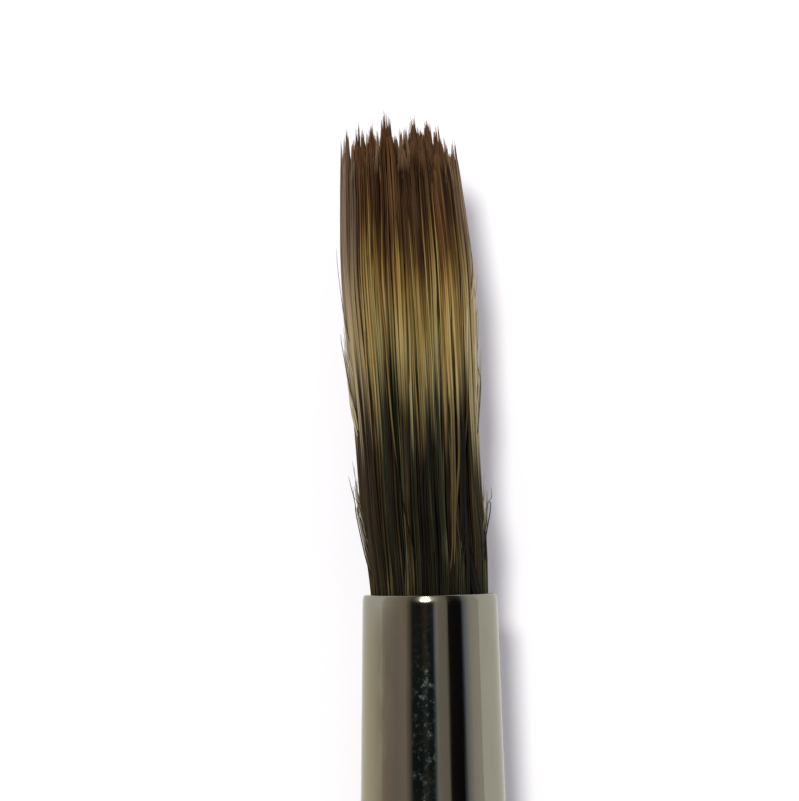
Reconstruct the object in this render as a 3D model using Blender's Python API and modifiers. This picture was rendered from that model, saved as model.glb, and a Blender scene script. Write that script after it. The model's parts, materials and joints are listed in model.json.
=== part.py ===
"""Artist's brush: a blunt natural-hair tuft in a tapered metal ferrule on a turned handle.

Metres, +Z up. The brush lies along X with the hair at +X and its wider face up. The
origin is under the middle of its length, level with the lowest point of the handle.
Inside the ferrule the hair is tied with thread, set in a cup of glue, and the handle's
tenon comes up behind it. The hair shows in three lengths, which bend at two pivots.
"""
import math

import bmesh
import bpy

MM = 0.001

# Driving dimensions
TOTAL_LENGTH = 192.0 * MM
HAIR_OUT = 18.5 * MM            # hair in front of the ferrule's mouth
FERRULE_LENGTH = 28.0 * MM
MOUTH_RADIUS = 2.6 * MM
FERRULE_TAPER = 0.0251          # radius gained per length, towards the handle
WALL = 0.3 * MM
FIT_GAP = 0.1 * MM              # between the ferrule and what it holds
BELLY_RADIUS = 4.1 * MM         # thickest part of the handle

# Ferrule details
RIM_SEGMENTS = 4
CRIMP_DEPTH = 0.16 * MM
CRIMP_HALF_WIDTH = 0.55 * MM
CRIMPS_FROM_END = (4.0 * MM, 6.4 * MM)

# What the ferrule holds, as distances behind its mouth
HAIR_ROOT = 11.0 * MM
BINDING_FRONT = 5.4 * MM
BINDING_BACK = 6.9 * MM
BINDING_RADIUS = 1.9 * MM       # hair drawn in under the thread
HAIR_ROOT_RADIUS = 2.0 * MM
THREAD_RADIUS = 0.11 * MM
THREAD_TURNS = 5
THREAD_CLEARANCE = 0.06 * MM
GLUE_FRONT = 8.6 * MM
GLUE_BACK = 13.2 * MM
TENON_FRONT = 14.2 * MM

# Handle, as distances behind the ferrule and radii
SHOULDER_GAP = 0.15 * MM
SHOULDER_RADIUS = 3.2 * MM
SHOULDER_EDGE = 0.12 * MM
BELLY_BEHIND = 21.0 * MM
HANDLE_SHAPE = (
    (5.0 * MM, 3.52 * MM),
    (BELLY_BEHIND, BELLY_RADIUS),
    (52.0 * MM, 3.5 * MM),
    (92.0 * MM, 2.55 * MM),
    (128.0 * MM, 1.85 * MM),
)
TAIL_RADIUS = 1.7 * MM
TAIL_ROUNDING = 0.7 * MM
HANDLE_STEP = 5.0 * MM

# Hair showing, as distances ahead of the mouth: (distance, half width, half thickness)
TUFT_SHAPE = (
    (0.0, 2.20 * MM, 2.20 * MM),
    (2.8 * MM, 2.50 * MM, 2.35 * MM),
    (6.4 * MM, 2.43 * MM, 2.20 * MM),
    (12.7 * MM, 2.56 * MM, 1.75 * MM),
    (HAIR_OUT, 2.05 * MM, 1.15 * MM),
)
LEAN = math.radians(2.85)       # the tuft leans to +Y
LEAN_SETBACK = 0.1 * MM         # sideways step that the hair takes within its first bend
TIP_ROUNDING = 0.9 * MM

# Pivots that stand for the bending of the hair, ahead of the mouth
SWAY_PIVOT = 2.8 * MM           # turns about Z
PRESS_PIVOT = 9.5 * MM          # turns about Y
KNUCKLE_MARGIN = 0.1 * MM
KNUCKLE_GAP = 0.3 * MM

ROUND_STEPS = 40
HAIR_SIDES = 32
SMOOTH_ANGLE = math.radians(35)

# Places that follow from them
TIP_X = TOTAL_LENGTH / 2
MOUTH_X = TIP_X - HAIR_OUT
FERRULE_END_X = MOUTH_X - FERRULE_LENGTH
TAIL_X = -TOTAL_LENGTH / 2
AXIS_Z = BELLY_RADIUS


def clear_scene():
    for thing in list(bpy.data.objects):
        bpy.data.objects.remove(thing, do_unlink=True)


def new_collection(name):
    collection = bpy.data.collections.new(name)
    bpy.context.scene.collection.children.link(collection)
    return collection


def make_material(name, colour, metallic, roughness):
    material = bpy.data.materials.new(name)
    material.use_nodes = True
    shader = material.node_tree.nodes["Principled BSDF"]
    shader.inputs["Base Color"].default_value = (*colour, 1.0)
    shader.inputs["Metallic"].default_value = metallic
    shader.inputs["Roughness"].default_value = roughness
    return material


def add_object(name, data, collection, material):
    thing = bpy.data.objects.new(name, data)
    collection.objects.link(thing)
    data.materials.append(material)
    return thing


def smooth_mesh(mesh):
    mesh.shade_smooth()
    mesh.set_sharp_from_angle(angle=SMOOTH_ANGLE)


def eased(stations, distance):
    """Values at a distance, easing in and out between stations (distance, value, ...)."""
    if distance <= stations[0][0]:
        return stations[0][1:]
    for before, after in zip(stations, stations[1:]):
        if distance <= after[0]:
            part = (distance - before[0]) / (after[0] - before[0])
            part = part * part * (3 - 2 * part)
            return tuple(a + (b - a) * part for a, b in zip(before[1:], after[1:]))
    return stations[-1][1:]


def flowing(points, position):
    """Height at a position on the smooth curve through points (position, height)."""
    for index in range(len(points) - 1):
        x0, y0 = points[index]
        x1, y1 = points[index + 1]
        if position <= x1 or index == len(points) - 2:
            break
    before = points[max(index - 1, 0)]
    after = points[min(index + 2, len(points) - 1)]
    slope0 = (y1 - before[1]) / (x1 - before[0])
    slope1 = (after[1] - y0) / (after[0] - x0)
    span = x1 - x0
    t = (position - x0) / span
    return (
        (2 * t**3 - 3 * t**2 + 1) * y0
        + (t**3 - 2 * t**2 + t) * span * slope0
        + (3 * t**2 - 2 * t**3) * y1
        + (t**3 - t**2) * span * slope1
    )


def turned(name, profile, closed, collection, material):
    """A lathe-turned solid about the brush's axis, from a profile of (x, radius)."""
    mesh = bpy.data.meshes.new(name)
    points = [(radius, 0.0, x) for x, radius in profile]
    edges = [(i, i + 1) for i in range(len(points) - 1)]
    if closed:
        edges.append((len(points) - 1, 0))
    mesh.from_pydata(points, edges, [])
    thing = add_object(name, mesh, collection, material)
    thing.location = (0, 0, AXIS_Z)
    thing.rotation_euler = (0, math.pi / 2, 0)
    screw = thing.modifiers.new("turn", "SCREW")
    screw.axis = "Z"
    screw.angle = 2 * math.pi
    screw.steps = ROUND_STEPS
    screw.render_steps = ROUND_STEPS
    screw.use_merge_vertices = True
    screw.merge_threshold = 0.00001
    screw.use_smooth_shade = True
    return thing


def crimp(x):
    """How far the ferrule's wall is pressed in at x."""
    pressed = 0.0
    for from_end in CRIMPS_FROM_END:
        off_centre = abs(x - FERRULE_END_X - from_end) / CRIMP_HALF_WIDTH
        if off_centre < 1:
            pressed += CRIMP_DEPTH * (1 + math.cos(math.pi * off_centre)) / 2
    return pressed


def ferrule_outer(x):
    return MOUTH_RADIUS + FERRULE_TAPER * (MOUTH_X - x) - crimp(x)


def ferrule_inner(x):
    return ferrule_outer(x) - WALL


def crimp_stations():
    """Places along the crimps, from the mouth's side to the end's, where the wall bends."""
    steps = (1.0, 0.5, 0.0, -0.5, -1.0)
    return [
        FERRULE_END_X + from_end + step * CRIMP_HALF_WIDTH
        for from_end in sorted(CRIMPS_FROM_END, reverse=True)
        for step in steps
    ]


def rim(x, radius, first_angle):
    """Half a circle across the wall's thickness, round a centre at x and a radius."""
    points = []
    for step in range(RIM_SEGMENTS + 1):
        angle = first_angle - math.pi * step / RIM_SEGMENTS
        points.append((x + WALL / 2 * math.sin(angle), radius + WALL / 2 * math.cos(angle)))
    return points


def make_ferrule(collection, material):
    """Seamless tube: rolled edges at both ends, two crimps that grip the tenon."""
    front = MOUTH_X - WALL / 2
    back = FERRULE_END_X + WALL / 2
    stations = crimp_stations()
    profile = [(x, ferrule_outer(x)) for x in stations]
    profile += rim(back, ferrule_outer(back) - WALL / 2, 0.0)
    profile += [(x, ferrule_inner(x)) for x in reversed(stations)]
    profile += rim(front, ferrule_outer(front) - WALL / 2, math.pi)
    return turned("ferrule", profile, True, collection, material)


def tail_end():
    """Rounded edge and flat end face of the handle, down to its axis."""
    centre_x = TAIL_X + TAIL_ROUNDING
    centre_radius = TAIL_RADIUS - TAIL_ROUNDING
    points = []
    for step in range(5):
        angle = math.pi / 2 * step / 4
        points.append((
            centre_x - TAIL_ROUNDING * math.sin(angle),
            centre_radius + TAIL_ROUNDING * math.cos(angle),
        ))
    points.append((TAIL_X, 0.0))
    return points


def make_handle(collection, material):
    """Turned wood: a tenon inside the ferrule, a shoulder behind it, a belly and a tail."""
    tenon_front = MOUTH_X - TENON_FRONT
    chamfer = WALL
    profile = [(tenon_front, 0.0), (tenon_front, ferrule_inner(tenon_front) - FIT_GAP - chamfer)]
    tenon = [tenon_front - chamfer] + crimp_stations() + [FERRULE_END_X - SHOULDER_GAP]
    profile += [(x, ferrule_inner(x) - FIT_GAP) for x in tenon]

    shoulder_x = FERRULE_END_X - SHOULDER_GAP
    tail_start = TAIL_X + TAIL_ROUNDING
    outside = [(0.0, SHOULDER_RADIUS), *HANDLE_SHAPE, (shoulder_x - tail_start, TAIL_RADIUS)]
    profile += [(shoulder_x, SHOULDER_RADIUS - SHOULDER_EDGE)]
    profile += [(shoulder_x - SHOULDER_EDGE, flowing(outside, SHOULDER_EDGE))]
    steps = round((shoulder_x - tail_start) / HANDLE_STEP)
    for step in range(1, steps):
        behind = (shoulder_x - tail_start) * step / steps
        profile.append((shoulder_x - behind, flowing(outside, behind)))
    profile += tail_end()
    return turned("handle", profile, False, collection, material)


def make_glue(collection, material):
    """Cup of set glue round the roots of the hair, closed behind them."""
    front = MOUTH_X - GLUE_FRONT
    back = MOUTH_X - GLUE_BACK
    floor_x = MOUTH_X - HAIR_ROOT - FIT_GAP
    bore = HAIR_ROOT_RADIUS + FIT_GAP
    profile = [
        (front, bore),
        (front, ferrule_inner(front) - FIT_GAP),
        (back, ferrule_inner(back) - FIT_GAP),
        (back, 0.0),
    ]
    inside = [(floor_x, 0.0), (floor_x, bore), (front, bore)]
    return turned("root_glue", inside[:-1] + profile, False, collection, material)


def make_binding(collection, material):
    """Thread wound round the hair, inside the ferrule."""
    wound_radius = BINDING_RADIUS + THREAD_CLEARANCE + THREAD_RADIUS
    points_a_turn = 24
    count = THREAD_TURNS * points_a_turn
    front = MOUTH_X - BINDING_FRONT - THREAD_RADIUS
    back = MOUTH_X - BINDING_BACK + THREAD_RADIUS
    curve = bpy.data.curves.new("binding_thread", "CURVE")
    curve.dimensions = "3D"
    curve.bevel_depth = THREAD_RADIUS
    curve.bevel_resolution = 1
    curve.use_fill_caps = True
    spline = curve.splines.new("POLY")
    spline.points.add(count)
    for index, point in enumerate(spline.points):
        angle = 2 * math.pi * index / points_a_turn
        x = front + (back - front) * index / count
        y = wound_radius * math.cos(angle)
        z = AXIS_Z + wound_radius * math.sin(angle)
        point.co = (x, y, z, 1.0)
    return add_object("binding_thread", curve, collection, material)


def tuft_centre(ahead):
    """Sideways place of the tuft's middle, ahead of the mouth."""
    settled = min(max(ahead / SWAY_PIVOT, 0.0), 1.0)
    return math.tan(LEAN) * max(ahead, 0.0) + LEAN_SETBACK * settled


def hair_section(ahead):
    """Half width and half thickness of the hair at a distance ahead of the mouth."""
    if ahead >= 0:
        return eased(TUFT_SHAPE, ahead)
    root = (
        (-HAIR_ROOT, HAIR_ROOT_RADIUS),
        (-BINDING_BACK - THREAD_RADIUS * 6, HAIR_ROOT_RADIUS),
        (-BINDING_BACK, BINDING_RADIUS),
        (-BINDING_FRONT, BINDING_RADIUS),
        (-BINDING_FRONT + THREAD_RADIUS * 8, TUFT_SHAPE[0][1]),
    )
    radius = eased(root, ahead)[0]
    return radius, radius


def tuft_ring(surface, shrink=1.0):
    """A loop of points on a crosswise surface, where surface(y, z) is its distance ahead.

    y is counted from the tuft's middle and z from its axis.
    """
    ring = []
    for side in range(HAIR_SIDES):
        angle = 2 * math.pi * side / HAIR_SIDES
        ahead = surface(0.0, 0.0)
        for _ in range(3):
            half_width, half_thickness = hair_section(ahead)
            y = shrink * half_width * math.cos(angle)
            z = shrink * half_thickness * math.sin(angle)
            ahead = surface(y, z)
        ring.append((MOUTH_X + ahead, tuft_centre(ahead) + y, AXIS_Z + z))
    return ring


def flat_at(ahead):
    return lambda y, z: ahead


def between(back, front, part):
    """A crosswise surface partway from one to the next."""
    return lambda y, z: back(y, z) + (front(y, z) - back(y, z)) * part


def knuckle(pivot, radius, crosswise):
    """Front of a cylinder about a pivot: across the width for Z, the thickness for Y."""
    def surface(y, z):
        off_axis = min(abs(y if crosswise == "width" else z), radius)
        return pivot + math.sqrt(radius**2 - off_axis**2)
    return surface


def loft(name, rings, end_points, collection, material):
    """A closed skin over rings of points, with a point in the middle of each end."""
    shape = bmesh.new()
    loops = [[shape.verts.new(point) for point in ring] for ring in rings]
    for near, far in zip(loops, loops[1:]):
        for side in range(HAIR_SIDES):
            beside = (side + 1) % HAIR_SIDES
            shape.faces.new((near[side], near[beside], far[beside], far[side]))
    for loop, point in zip((loops[0], loops[-1]), end_points):
        middle = shape.verts.new(point)
        for side in range(HAIR_SIDES):
            shape.faces.new((loop[side], loop[(side + 1) % HAIR_SIDES], middle))
    bmesh.ops.recalc_face_normals(shape, faces=shape.faces)
    mesh = bpy.data.meshes.new(name)
    shape.to_mesh(mesh)
    shape.free()
    smooth_mesh(mesh)
    return add_object(name, mesh, collection, material)


def on_axis(surface):
    ahead = surface(0.0, 0.0)
    return (MOUTH_X + ahead, tuft_centre(ahead), AXIS_Z)


def hair_length(name, back, front, side_rings, cap_shrinks, collection, material):
    """One length of the tuft, between a back surface and a front surface."""
    rings = [tuft_ring(back, shrink) for shrink in reversed(cap_shrinks)]
    rings += [tuft_ring(between(back, front, part)) for part in side_rings]
    rings += [tuft_ring(front, shrink) for shrink in cap_shrinks]
    return loft(name, rings, (on_axis(back), on_axis(front)), collection, material)


def make_tuft(collection, material):
    """The hair in three lengths, rounded about the pivots where they meet."""
    sway_radius = hair_section(SWAY_PIVOT)[0] + KNUCKLE_MARGIN
    press_radius = hair_section(PRESS_PIVOT)[1] + KNUCKLE_MARGIN
    sway_knuckle = knuckle(SWAY_PIVOT, sway_radius, "width")
    sway_socket = knuckle(SWAY_PIVOT, sway_radius + KNUCKLE_GAP, "width")
    press_knuckle = knuckle(PRESS_PIVOT, press_radius, "thickness")
    press_socket = knuckle(PRESS_PIVOT, press_radius + KNUCKLE_GAP, "thickness")
    cap = (0.86, 0.66, 0.42, 0.2)

    root = flat_at(-HAIR_ROOT)
    inside = [flat_at(-HAIR_ROOT + HAIR_ROOT * step / 22) for step in range(23)]
    rings = [tuft_ring(surface) for surface in inside]
    mouth = flat_at(0.0)
    rings += [tuft_ring(between(mouth, sway_knuckle, part)) for part in (0.25, 0.5, 0.75, 1.0)]
    rings += [tuft_ring(sway_knuckle, shrink) for shrink in cap]
    loft("hair_base", rings, (on_axis(root), on_axis(sway_knuckle)), collection, material)

    hair_length("hair_belly", sway_socket, press_knuckle, (0, 0.33, 0.67, 1), cap, collection, material)

    tip_edge = flat_at(HAIR_OUT - TIP_ROUNDING)
    rings = [tuft_ring(press_socket, shrink) for shrink in reversed(cap)]
    rings += [tuft_ring(between(press_socket, tip_edge, part)) for part in (0, 0.35, 0.7, 1)]
    for step in range(1, 5):
        angle = math.pi / 2 * step / 4
        ahead = HAIR_OUT - TIP_ROUNDING * (1 - math.sin(angle))
        inset = TIP_ROUNDING * (1 - math.cos(angle)) / TUFT_SHAPE[-1][2] * 0.55
        rings.append(tuft_ring(flat_at(ahead), 1 - inset))
    loft("hair_tip", rings, (on_axis(press_socket), (TIP_X, tuft_centre(HAIR_OUT), AXIS_Z)),
         collection, material)


def main():
    clear_scene()
    brush = new_collection("artist_brush")
    nickel = make_material("polished_nickel", (0.62, 0.60, 0.54), 1.0, 0.12)
    wood = make_material("lacquered_wood", (0.56, 0.33, 0.15), 0.0, 0.3)
    hair = make_material("natural_hair", (0.16, 0.10, 0.05), 0.0, 0.6)
    thread = make_material("waxed_thread", (0.75, 0.70, 0.58), 0.0, 0.8)
    glue = make_material("set_glue", (0.55, 0.36, 0.14), 0.0, 0.35)

    make_ferrule(brush, nickel)
    make_handle(brush, wood)
    make_glue(brush, glue)
    make_binding(brush, thread)
    make_tuft(brush, hair)


main()
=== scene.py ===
"""Looks of the artist's brush: hair, ferrule, handle, floor, light and camera.

Metres, in the frame of the CAD model: the brush lies along X with its hair at +X and the
tuft's wider face up. Distances ahead of the ferrule's mouth are called "ahead" here, and
places across and deep in the tuft are shares of its half width and half thickness.
"""
import json
import math

import bmesh
import bpy
import numpy as np
from mathutils import Matrix, Vector

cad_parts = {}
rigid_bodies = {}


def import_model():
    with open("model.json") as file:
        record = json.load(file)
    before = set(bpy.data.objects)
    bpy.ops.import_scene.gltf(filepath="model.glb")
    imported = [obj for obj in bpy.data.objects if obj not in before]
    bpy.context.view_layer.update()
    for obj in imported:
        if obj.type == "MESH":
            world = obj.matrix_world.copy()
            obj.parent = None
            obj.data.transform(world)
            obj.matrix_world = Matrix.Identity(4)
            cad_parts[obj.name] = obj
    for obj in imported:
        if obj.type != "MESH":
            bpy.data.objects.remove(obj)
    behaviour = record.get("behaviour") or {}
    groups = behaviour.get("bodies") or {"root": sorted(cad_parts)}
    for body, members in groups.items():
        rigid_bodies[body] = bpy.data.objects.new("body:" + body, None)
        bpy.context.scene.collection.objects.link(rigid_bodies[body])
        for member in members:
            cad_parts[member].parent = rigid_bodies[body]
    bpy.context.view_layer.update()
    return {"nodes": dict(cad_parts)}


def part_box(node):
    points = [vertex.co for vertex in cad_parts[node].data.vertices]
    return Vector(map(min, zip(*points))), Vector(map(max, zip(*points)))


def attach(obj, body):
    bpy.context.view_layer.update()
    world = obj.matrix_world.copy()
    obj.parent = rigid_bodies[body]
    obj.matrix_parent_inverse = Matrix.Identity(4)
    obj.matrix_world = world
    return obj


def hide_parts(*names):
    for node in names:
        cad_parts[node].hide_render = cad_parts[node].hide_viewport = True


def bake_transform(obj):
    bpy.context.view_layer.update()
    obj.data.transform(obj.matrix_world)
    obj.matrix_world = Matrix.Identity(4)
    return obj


for leftover in list(bpy.data.objects):
    bpy.data.objects.remove(leftover, do_unlink=True)

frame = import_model()

MM = 0.001
FIXED_BODY = "handle_and_ferrule"

# Places, from the frame
FERRULE_LOW, FERRULE_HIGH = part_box("ferrule")
HANDLE_LOW, HANDLE_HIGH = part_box("handle")
MOUTH_X = FERRULE_HIGH.x
FERRULE_END_X = FERRULE_LOW.x
TAIL_X = HANDLE_LOW.x
AXIS_Z = (FERRULE_LOW.z + FERRULE_HIGH.z) / 2
HAIR_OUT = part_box("hair_tip")[1].x - MOUTH_X
HAIR_ROOT = MOUTH_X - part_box("hair_base")[0].x
ROUNDING_ERROR = 1e-6

# The tuft's outline: (ahead, half width, half thickness)
TUFT_SHAPE = np.array((
    (-1.5, 2.20, 2.20),
    (0.0, 2.24, 2.22),
    (1.8, 2.34, 2.24),
    (3.8, 2.36, 2.24),
    (6.4, 2.38, 2.12),
    (9.5, 2.46, 1.90),
    (12.7, 2.52, 1.68),
    (15.0, 2.38, 1.44),
    (18.5, 2.14, 1.10),
)) * MM
LEAN = math.radians(2.85)
LEAN_SETBACK = 0.08 * MM
LEAN_START = 1.0 * MM
LEAN_EASING = 3.0 * MM

# Hairs
SEED = 7
HAIR_COUNT = 3400
HAIR_RADIUS = 0.042 * MM
RADIUS_RANGE = (0.7, 1.3)
HAIR_SIDES = 3
LOWER_RINGS = 10
UPPER_RINGS = 14
STRAY_RINGS = 16
HAIR_START = -0.8 * MM
CUT_AHEAD = 5.6 * MM            # hairs pass from the lower piece to the upper ones here
INNER_SHARE = 0.5               # inside this share of the outline the lower piece is a core
SCATTER = 0.012
UPRIGHT = 0.2                   # how far hairs inside the tuft stand up out of its lean
HAIR_DRIFT = 0.03
STRAY_SHARE = 0.09              # hairs that cross their neighbours
STRAY_DRIFT = 5                 # how many times as far as other hairs they drift
STRAY_LIFT = 0.03
LIFT_CURVE = 0.7
WAVES = 3                       # of a whole, a half and a third of the wave length
WAVE_SIZE = 0.012
WAVE_LENGTH = 11 * MM
TAPER_LENGTH = 1.8 * MM
TAPER_CURVE = 0.6               # under 1, a hair stays thick for longer and ends more bluntly
POINT_THICKNESS = 0.15
SWELL = 0.2                     # how much thicker hairs are in their middle
RING_CURVE = 0.85               # under 1, a hair's rings lie closer together towards its tip
UNSEEN_END = 0.04 * MM          # a hair's last stretch, too fine to see

# Wisps: small bundles whose hairs run together and are alike in colour
WISP_COUNT = 420
WISP_DRIFT = 0.06
WISP_SINK = 0.06
WISP_PULLS = (0.2, 0.6)
WISP_LENGTH = 6 * MM            # the hairs gather over this

# Wisps that lie aslant over the others: (place across at the mouth, and at its end,
# breadth, shade)
SLANTING_WISPS = (
    (-0.80, -0.30, 0.14, 0.0), (-0.62, -0.18, 0.05, 0.9), (-0.50, -0.66, 0.05, 0.1),
    (-0.30, -0.42, 0.04, 0.85), (0.05, 0.14, 0.05, 0.05), (0.42, 0.30, 0.04, 0.95),
    (0.72, 0.84, 0.06, 0.1),
)
SLANT_DEPTH = 0.9
SLANT_RISE = 0.05
SLANT_LIFT = 0.03
SLANT_CONTRAST = 8
SLANT_LENGTH = 8 * MM

# The locks that the tip parts into, from the tuft's +Y side to its -Y side:
# (place across the width, reach ahead in mm, half breadth as a share of the half width)
FRONT_LOCKS = (
    (0.99, 17.6, 0.02), (0.90, 18.0, 0.04), (0.79, 17.8, 0.01), (0.66, 18.35, 0.07),
    (0.53, 18.0, 0.01), (0.45, 18.25, 0.05), (0.36, 18.0, 0.02), (0.29, 17.8, 0.01),
    (0.20, 18.75, 0.08), (0.03, 18.0, 0.02), (-0.06, 18.1, 0.02), (-0.14, 18.2, 0.02),
    (-0.28, 18.55, 0.07), (-0.40, 18.2, 0.04), (-0.53, 18.3, 0.07), (-0.69, 18.1, 0.07),
    (-0.81, 17.6, 0.02), (-0.88, 17.2, 0.02), (-0.97, 17.5, 0.07),
)
BACK_LOCKS = (
    (0.93, 17.5, 0.05), (0.72, 17.7, 0.05), (0.58, 17.6, 0.05), (0.40, 17.8, 0.05),
    (0.27, 17.7, 0.05), (0.10, 17.6, 0.07), (-0.10, 17.8, 0.06), (-0.21, 17.9, 0.05),
    (-0.34, 18.0, 0.05), (-0.47, 17.9, 0.05), (-0.61, 17.8, 0.06), (-0.77, 17.4, 0.05),
    (-0.90, 17.0, 0.05),
)
LOCK_DEPTH = 0.42
LOCK_SCATTER = 0.15
PLACE_WEIGHTS = np.array((1.0, 0.4))    # places are compared more across than in depth
LOCK_DOUBT = 0.03
CLUMP_LENGTHS = (1.4 * MM, 2.6 * MM)    # the ends of a lock's hairs draw together over this
CLUMP_PULLS = (0.75, 0.95)
CLUMP_EASING = 0.7              # the share of that length after which they are drawn in fully
LOCK_SLOPE = 8 * MM             # hairs are shorter away from their lock's middle
LOCK_CURVE = 1.5
OUTSIDE_SLOPE = 7 * MM          # and shorter still outside the lock
SHORT_LIMIT = 1.1 * MM
SHORT_SCATTER = 0.05 * MM
LOOSE_SHARE = 0.1               # hairs that stay out of the locks
LOOSE_SHORT = 0.8 * MM
LOOSE_PULL = 0.3
THIN_LOCK = 0.025
# Points painted as lit through: brightest in thin locks and in the back locks, which lie in the
# front ones' shade
BRIGHT_GLOW = (0.5, 1.0)        # how pale the points are, in thin and back locks
DULL_GLOW = (0.0, 0.2)          # and in the others

# Colours across the tuft: (place across, the dark lower stretch's end in mm ahead, the
# golden stretch's end in mm ahead, how much lighter than most)
TONES_ACROSS = np.array((
    (-0.89, 7.0, 12.6, -0.02), (-0.67, 7.5, 12.9, 0.15), (-0.44, 7.4, 11.8, -0.3),
    (-0.22, 6.1, 12.5, 0.08), (0.0, 8.4, 12.5, 0.1), (0.22, 9.5, 12.0, 0.28),
    (0.44, 8.3, 12.1, -0.2), (0.67, 8.6, 13.5, 0.15), (0.89, 7.5, 12.2, -0.25),
))
STRIP_COUNT = 30                # strips across the tuft whose hairs are alike in colour
STRIP_SHARE = 0.3               # what its strip, its wisp and chance add to a hair's tones
WISP_SHARE = 0.75
OWN_SHARE = 0.3
DARK_END_SPREAD = (1.0, 0.4)    # mm, by those tones and by chance alone
PALE_END_SPREAD = (0.7, 0.3)
# Hairs at the tuft's edges are painted paler, standing in for light shining through them
LEFT_EDGE = 0.70                # hairs past these places across turn pale, over these breadths
LEFT_EDGE_BREADTH = 0.25
RIGHT_EDGE = -0.86
RIGHT_EDGE_BREADTH = 0.14
LIT_THROUGH_PALENESS = 0.6
LIT_THROUGH_RANGE = (0.3, 1)
GLOW_RANGE = (0.5, 1)
GRAIN_SPREAD = 0.6
GRAIN_SPAN = 100                # how much of the mottling noise the wisps are spread over
HAIR_MARKS = ("shade", "coolness", "dark_end", "pale_end", "pale", "glow", "grain")

# Hair colours from the darkest hairs to the palest, as (share, colour)
BASE_TONES = (
    (0.0, (0.005, 0.004, 0.003)), (0.45, (0.012, 0.0105, 0.0055)),
    (0.7, (0.022, 0.019, 0.009)), (0.88, (0.042, 0.037, 0.017)), (1.0, (0.07, 0.062, 0.03)),
)
GOLD_TONES = (
    (0.0, (0.15, 0.093, 0.028)), (0.2, (0.222, 0.152, 0.049)), (0.5, (0.27, 0.199, 0.068)),
    (0.8, (0.305, 0.236, 0.088)), (1.0, (0.35, 0.283, 0.122)),
)
AMBER_TONES = (
    (0.0, (0.058, 0.027, 0.005)), (0.5, (0.16, 0.092, 0.018)), (1.0, (0.28, 0.185, 0.045)),
)
TIP_TONES = (
    (0.0, (0.018, 0.008, 0.003)), (0.4, (0.044, 0.0215, 0.0075)),
    (0.8, (0.074, 0.041, 0.014)), (1.0, (0.115, 0.07, 0.027)),
)
# What they are multiplied by, from the warmest hairs to the coolest
BASE_TINTS = (
    (0.0, (1.2, 0.88, 0.65)), (0.35, (1.05, 0.98, 0.8)),
    (0.7, (0.92, 1.04, 0.9)), (1.0, (0.82, 1.05, 1.0)),
)
GOLD_TINTS = (
    (0.0, (1.0, 0.88, 0.74)), (0.4, (1.0, 0.97, 0.85)),
    (0.75, (0.95, 1.0, 0.95)), (1.0, (0.84, 0.94, 0.88)),
)
TIP_TINTS = ((0.0, (1.05, 0.80, 0.70)), (0.5, (1.0, 0.94, 0.82)), (1.0, (0.92, 1.0, 0.85)))
OLIVE_TINT = (0.92, 1.0, 1.22)
# Painted light through the edge and fringe hairs, for the dark, golden and tip stretches
LIT_THROUGH_DARK = (0.075, 0.048, 0.024)
LIT_THROUGH_GOLD = (0.50, 0.43, 0.29)
LIT_THROUGH_TIP = (0.34, 0.25, 0.17)
# The points' painted glow of light through their fine ends, faint and full, its share and length
POINT_FAINT_GLOW = (0.15, 0.062, 0.026)
POINT_FULL_GLOW = (0.60, 0.40, 0.23)
POINT_GLOW_SHARE = 0.55
POINT_LENGTH = 0.7              # mm
# Where one colour turns to the next, in mm past the dark stretch's end
DARK_TO_GOLD = (-1.5, 1.7)
OLIVE_TO_GOLD = (0.3, 3.2)
# and in mm past the golden stretch's end
GOLD_TO_AMBER = (-2.0, 0.2)
AMBER_TO_TIP = (-0.6, 1.9)
OWN_SHADE = 0.75                # how much of the shade a hair keeps all along
MOTTLES_PER_MM = 0.4

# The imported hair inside: (ahead in mm, radius in mm) down in the ferrule, with the waist
# that the binding makes, and its share of the outline outside
ROOT_SHAPE = (
    (-7.4, 2.0), (-6.8, 1.9), (-5.5, 1.9), (-4.6, 2.15), (-2.0, 2.1), (0.0, 1.7),
)
CORE_SHARE = 0.68
CORE_START = 1.0 * MM
CORE_PAST_CUT = 0.5 * MM
CORE_RINGS = 8
CORE_SIDES = 48

# Single hairs that stand off the tuft, as (shade, thickness, points), each point being
# (ahead, aside to +Y, above the axis) in mm
LOW_STRAY_HAIRS = (
    (0.25, 0.8, (
        (0.6, 2.18, 0.6), (1.5, 2.46, 0.7), (3.1, 2.78, 0.8), (3.6, 2.83, 0.9), (4.6, 3.06, 1.0))),
    (0.3, 0.6, (
        (1.6, 2.32, 0.4), (2.7, 2.55, 0.6), (3.3, 2.74, 0.7), (3.55, 2.66, 0.8), (3.6, 2.5, 0.8))),
    (0.5, 0.5, (
        (2.2, 2.4, 1.0), (3.0, 2.52, 1.0), (3.6, 2.72, 1.0), (3.8, 2.86, 1.0), (4.2, 2.9, 0.9))),
    (0.25, 0.7, (
        (0.9, -2.12, 0.5), (2.2, -2.2, 0.6), (3.2, -2.38, 0.7), (3.55, -2.36, 0.8),
        (3.45, -2.2, 0.9))),
    (0.4, 0.5, (
        (1.8, -2.12, 0.8), (2.9, -2.22, 0.8), (3.5, -2.3, 0.8), (3.7, -2.44, 0.8),
        (4.1, -2.42, 0.7))),
)
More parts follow.
